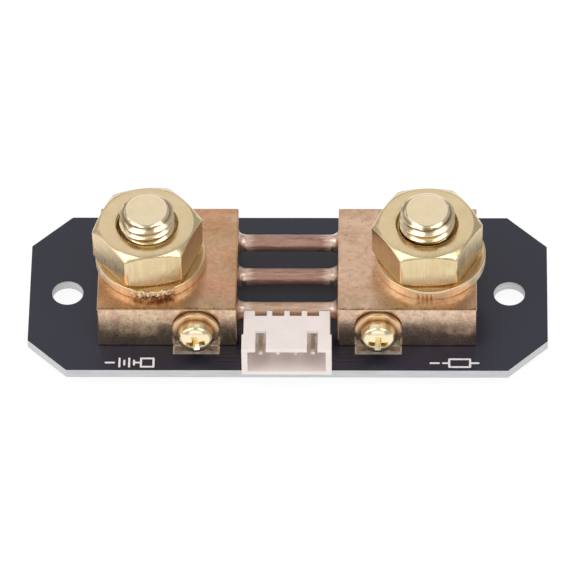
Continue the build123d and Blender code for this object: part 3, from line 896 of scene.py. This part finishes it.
def washer(side):
    """A punched washer, rolled over at its upper rim. Torn at the front, or nicked there."""
    node = f"flat_washer_{side}"
    bottom, top, spot, outer = low(node).z, high(node).z, centre(node), half_width(node)
    inner, middle = WASHER_BORE_RADIUS, spot.z
    # The points half way up the rim give the damage something to move.
    corners = [(inner, bottom), (outer, bottom), (outer, middle - 0.15), (outer, middle + 0.1)]
    corners += [(outer, middle + 0.35), (outer, top), (outer - 0.5, top), (inner, top)]
    outline = rounded(corners, [0.08, 0.1, 0, 0, 0, 0.22, 0, 0.12], steps=4)
    bm = bmesh.new()
    lathe(bm, outline, 240, upright(spot))
    damage = tear_rim if side == "battery" else nick_rim
    damage(bm, spot, outer)
    made = finish_mesh(f"shown_{node}", bm, [f"washer_{side}"], 50.0)
    stands_for(weighted(made), node, f"washer_body_{side}")


def rim_points(bm, spot, inner, start, end):
    """Each vertex beyond radius inner and between two angles: itself, its outward way, angle, height."""
    for vert in bm.verts:
        across = Vector((vert.co.x / MM - spot.x, vert.co.y / MM - spot.y, 0))
        angle = math.atan2(across.y, across.x)
        if start < angle < end and across.length > inner:
            yield vert, across.normalized(), angle, vert.co.z / MM


def tear_rim(bm, spot, outer):
    """Crumples the upper rim where it was sheared, facing the front, and cuts in under it."""
    for vert, outward, angle, z in rim_points(bm, spot, outer - 0.8, TEAR_START, TEAR_END):
        fade = min(1.0, (angle - TEAR_START) / 0.05, (TEAR_END - angle) / 0.05)
        bite = noise.noise(Vector((angle * 34, z * 2.6, 0)))
        lift = noise.noise(Vector((angle * 40, z * 1.7, 9)))
        if z > spot.z:
            inward, drop = -0.14 - 0.45 * bite, 0.16 * lift - 0.04
        else:
            inward, drop = 0.35 + 0.75 * bite + 0.25 * math.sin(4 * angle), 0.12 * lift
        vert.co += (outward * -inward + Vector((0, 0, drop))) * fade * MM


def nick_rim(bm, spot, outer):
    """Short upright nicks low on the front of the rim."""
    for vert, outward, angle, z in rim_points(bm, spot, outer - 0.3, NICKS_START, NICKS_END):
        if z < spot.z + 0.2:
            vert.co -= outward * max(0.0, math.sin(angle * 80)) * 0.4 * MM


# ------------------------------ blocks, bars and braze


def bar(row):
    """A drawn rod, very slightly out of true."""
    node = f"resistance_bar_{row}"
    start, end, spot, radius = low(node).x, high(node).x, centre(node), half_height(node)
    rows, count = [], 90
    for i in range(count + 1):
        x = start + (end - start) * i / count
        points = []
        for p in ring(radius, 0, 48):
            dent = noise.noise(Vector((x * 0.5, p.x * 0.8, p.y * 0.8 + spot.y))) * 0.03
            scale = (radius - 0.02 + min(dent, 0.018)) / radius
            points.append(Vector((x, spot.y + p.x * scale, spot.z + p.y * scale)))
        rows.append(points)
    bm = bmesh.new()
    add_grid(bm, [[Vector((start, spot.y, spot.z))], *rows, [Vector((end, spot.y, spot.z))]])
    # The front bar takes the lighter copy of the bar colours, which is painted light.
    material = "manganin_front" if row == "front" else "manganin"
    stands_for(finish_mesh(f"shown_{node}", bm, [material], 50.0), node)


def fillet_rows(spot, bar_radius, rise, face, reach, sign):
    """Rings of a flared fillet round a bar, from the block's face out to about reach along the bar."""
    rows, steps = [], 16
    for i in range(steps + 1):
        t = i / steps
        points = []
        for p in ring(1.0, 0, 64):
            run = noise.noise(Vector((p.x * 1.3 + spot.y, p.y * 1.3, sign * 4.0)))
            lump = noise.noise(Vector((p.x * 2.5 + spot.y, p.y * 2.5, t * 2 + sign)))
            flare = rise * (1 - math.sqrt(1 - (1 - t) ** 2)) * (0.94 + 0.06 * run)
            radius = bar_radius + flare + 0.03 * (1 - t) + 0.05 * lump * t * (1 - t) * 4
            radius = min(radius, bar_radius + rise)
            x = face - sign * reach * (1.0 + 0.35 * run) * t
            points.append(Vector((x, spot.y + p.x * radius, spot.z + p.y * radius)))
        rows.append(points)
    return rows


def braze(side):
    """Three flared fillets of braze, which run out unevenly along the bars."""
    node = f"braze_fillets_{side}"
    face = high(node).x if side == "load" else low(node).x
    bm = bmesh.new()
    for row in BAR_ROWS:
        spot, bar_radius = centre(f"resistance_bar_{row}"), half_height(f"resistance_bar_{row}")
        rise = half_height(node) - bar_radius
        rows = fillet_rows(spot, bar_radius, rise, face, half_width(node) * 2, SIGN[side])
        halved = Matrix.Diagonal((1, 0.5, 0.5))
        inside = [[halved @ (p - spot) + spot for p in points] for points in (rows[-1], rows[0])]
        add_grid(bm, [*rows, *inside], wrap_rows=True)
    stands_for(finish_mesh(f"shown_{node}", bm, ["braze"], 60.0), node)


# ------------------------------ sense screws and screws below


def cut(made, cutter):
    """Takes the cutter away from made, as part of the mesh."""
    change = made.modifiers.new("cut", "BOOLEAN")
    change.object, change.operation, change.solver = cutter, "DIFFERENCE", "EXACT"
    applied(made)
    bpy.data.objects.remove(cutter)


def recess_arm(span, floor_span, slot, depth, place):
    """One arm of a driver's cross: a bar that narrows downwards, from just above Z = 0 to -depth."""
    above = 0.4
    grow = 1 + above / depth * (span - floor_span) / span
    levels = [(above, span * grow, slot * 1.12), (-depth, floor_span, slot * 0.7)]
    rows = []
    for z, length, width in levels:
        corners = [(x * length / 2, y * width / 2) for x, y in ((1, 1), (-1, 1), (-1, -1), (1, -1))]
        rows.append([place @ Vector((x, y, z)) for x, y in corners])
    bm = bmesh.new()
    add_grid(bm, rows)
    for row in rows:
        bm.faces.new([bm.verts.new(p * MM) for p in row])
    return finish_mesh("recess_arm", bm, ["solder"])


def pan_screw(name, material, place, radius, height, shank, turn):
    """A cross-recessed pan-head screw. Its head stands on Z = 0 and its shank goes down."""
    side_height = height - SENSE_DOME_HEIGHT
    rim_to_middle = [math.radians(t) for t in (0, 4, 9, 16, 24, 33, 43, 53, 63, 72, 80, 86, 90)]
    dome = [(radius * math.cos(t), side_height + SENSE_DOME_HEIGHT * math.sin(t)) for t in rim_to_middle]
    outline = [(0, -shank), (1.2, -shank), (1.48, 0.3 - shank), (1.48, 0)]
    outline += [(radius - 0.05, 0), (radius, 0.05), *dome]
    bm = bmesh.new()
    lathe(bm, outline, 96, place, wrap=False)
    made = finish_mesh(name, bm, [material], 40.0)
    for quarter in (0, math.radians(90)):
        arm_place = place @ Matrix.Translation((0, 0, height)) @ Matrix.Rotation(turn + quarter, 4, "Z")
        cut(made, recess_arm(span=3.0, floor_span=1.3, slot=0.85, depth=1.5, place=arm_place))
    return weighted(made, 0.05, 2, 40.0)


def sense_screw(side):
    """The screw in a block's front face, its head on the washer."""
    node = f"sense_screw_{side}"
    washer_front, axis = low(f"sense_washer_{side}").y, centre(f"sense_washer_{side}")
    place = facing_front(Vector((axis.x, washer_front, axis.z)))
    height, shank = washer_front - low(node).y, high(node).y - washer_front
    shape = (place, half_width(node), height, shank, SENSE_TURN[side])
    stands_for(pan_screw(f"shown_{node}", f"sense_{side}", *shape), node)


def sense_washer(side):
    """A small domed washer, its back on the tab."""
    node = f"sense_washer_{side}"
    back, depth, axis = high(node).y, high(node).y - low(node).y, centre(node)
    inner, outer = SENSE_BORE_RADIUS, half_width(node)
    corners = [(inner, 0), (outer, 0), (outer, depth), (inner, depth)]
    bm = bmesh.new()
    place = facing_front(Vector((axis.x, back, axis.z)))
    lathe(bm, rounded(corners, [0.03, 0.05, 0.2, 0.1], steps=5), 128, place)
    made = finish_mesh(f"shown_{node}", bm, [f"sense_washer_{side}"], 50.0)
    stands_for(weighted(made), node)


# ------------------------------ put together


board()
board_marks()
board_traces()
for end in SIDES:
    copy_of(f"terminal_block_{end}", f"block_{end}", 0.1)
    stud(end)
    nut(end)
    washer(end)
    braze(end)
    sense_screw(end)
    sense_washer(end)
    copy_of(f"sense_tab_{end}", "tab", 0.04)
    copy_of(f"tab_solder_{end}", "solder", 0.015, 1)
    copy_of(f"block_screws_{end}", "zinc", 0.0)
for bar_row in BAR_ROWS:
    bar(bar_row)
copy_of("connector_housing", "nylon", 0.09, 3)
for pin_number in PIN_NUMBERS:
    copy_of(f"connector_pin_{pin_number}", "tin", 0.05)
copy_of("connector_solder_joints", "solder", 0.0)
copy_of("amplifier_body", "epoxy", 0.04)
copy_of("amplifier_leads", "tin", 0.02, 1)
copy_of("chip_capacitors", "ceramic", 0.03)
copy_of("chip_resistors", "epoxy", 0.03)
copy_of("chip_end_caps", "solder", 0.03)


# ------------------------------ floor, light and camera


def floor():
    """White paper that glows a little, so that it stays white round the object."""
    shader = Shader("floor_paper", Metallic=0.0, Roughness=0.9, Emission_Strength=0.93)
    fibre = shader.noise((0.6, 0.6, 0.6), detail=3)
    shader.set("Base Color", shader.mix(fibre, (0.11, 0.11, 0.11), (0.13, 0.13, 0.13)))
    shader.set("Emission Color", (1.0, 1.0, 1.0, 1.0))
    half, level = 3.0, cad_low.z
    corners = [(x * half, y * half, level) for x, y in ((-1, -1), (1, -1), (1, 1), (-1, 1))]
    mesh = bpy.data.meshes.new("floor")
    mesh.from_pydata(corners, [], [(0, 1, 2, 3)])
    mesh.materials.append(shader.material)
    made = bpy.data.objects.new("floor", mesh)
    bpy.context.scene.collection.objects.link(made)


def softbox(name, place, size, power):
    """A rectangular studio light at place, in metres, aimed at the object. power is in watts."""
    light = bpy.data.lights.new(name, "AREA")
    light.shape = "RECTANGLE"
    light.size, light.size_y = size
    light.energy = power
    made = bpy.data.objects.new(name, light)
    made.location = place
    made.rotation_euler = Vector(place).to_track_quat("Z", "Y").to_euler()
    bpy.context.scene.collection.objects.link(made)


def lighting():
    """A dim tent, with softboxes over both shoulders, behind, in front and at the left."""
    world = bpy.data.worlds.new("studio")
    world.use_nodes = True
    background = world.node_tree.nodes["Background"]
    background.inputs["Color"].default_value = (1.0, 0.985, 0.965, 1.0)
    background.inputs["Strength"].default_value = 0.45
    bpy.context.scene.world = world
    softbox("left_shoulder_softbox", (-0.55, -0.22, 0.95), (0.5, 0.7), 2.9)
    softbox("right_shoulder_softbox", (0.55, -0.22, 0.95), (0.5, 0.7), 2.6)
    softbox("back_softbox", (-0.25, 0.85, 0.85), (1.5, 0.85), 1.75)
    softbox("front_softbox", (0.0, -1.25, 0.6), (1.5, 1.0), 3.7)
    softbox("left_softbox", (-1.1, -0.1, 0.5), (1.0, 0.7), 1.6)
    bpy.context.scene.view_settings.view_transform = "Standard"


def camera():
    """The view: a long lens, nearly square on to the front and 47.5 degrees above."""
    azimuth, elevation, roll = math.radians(1.71), math.radians(47.5), math.radians(-1.17)
    distance, lens, sensor = 1.098, 475.0, 36.0
    across = math.cos(elevation)
    back = Vector((math.sin(azimuth) * across, -math.cos(azimuth) * across, math.sin(elevation)))
    level_right = Vector((math.cos(azimuth), math.sin(azimuth), 0))
    level_up = back.cross(level_right)
    right = level_right * math.cos(roll) + level_up * math.sin(roll)
    up = level_up * math.cos(roll) - level_right * math.sin(roll)
    aim = Vector((0.0, -0.0016, 0.0044))
    data = bpy.data.cameras.new("camera")
    data.lens, data.sensor_width = lens, sensor
    data.clip_start, data.clip_end = 0.01, 20.0
    made = bpy.data.objects.new("camera", data)
    made.matrix_world = Matrix((right, up, back)).transposed().to_4x4()
    made.location = aim + back * distance
    bpy.context.scene.collection.objects.link(made)
    bpy.context.scene.camera = made


floor()
lighting()
camera()
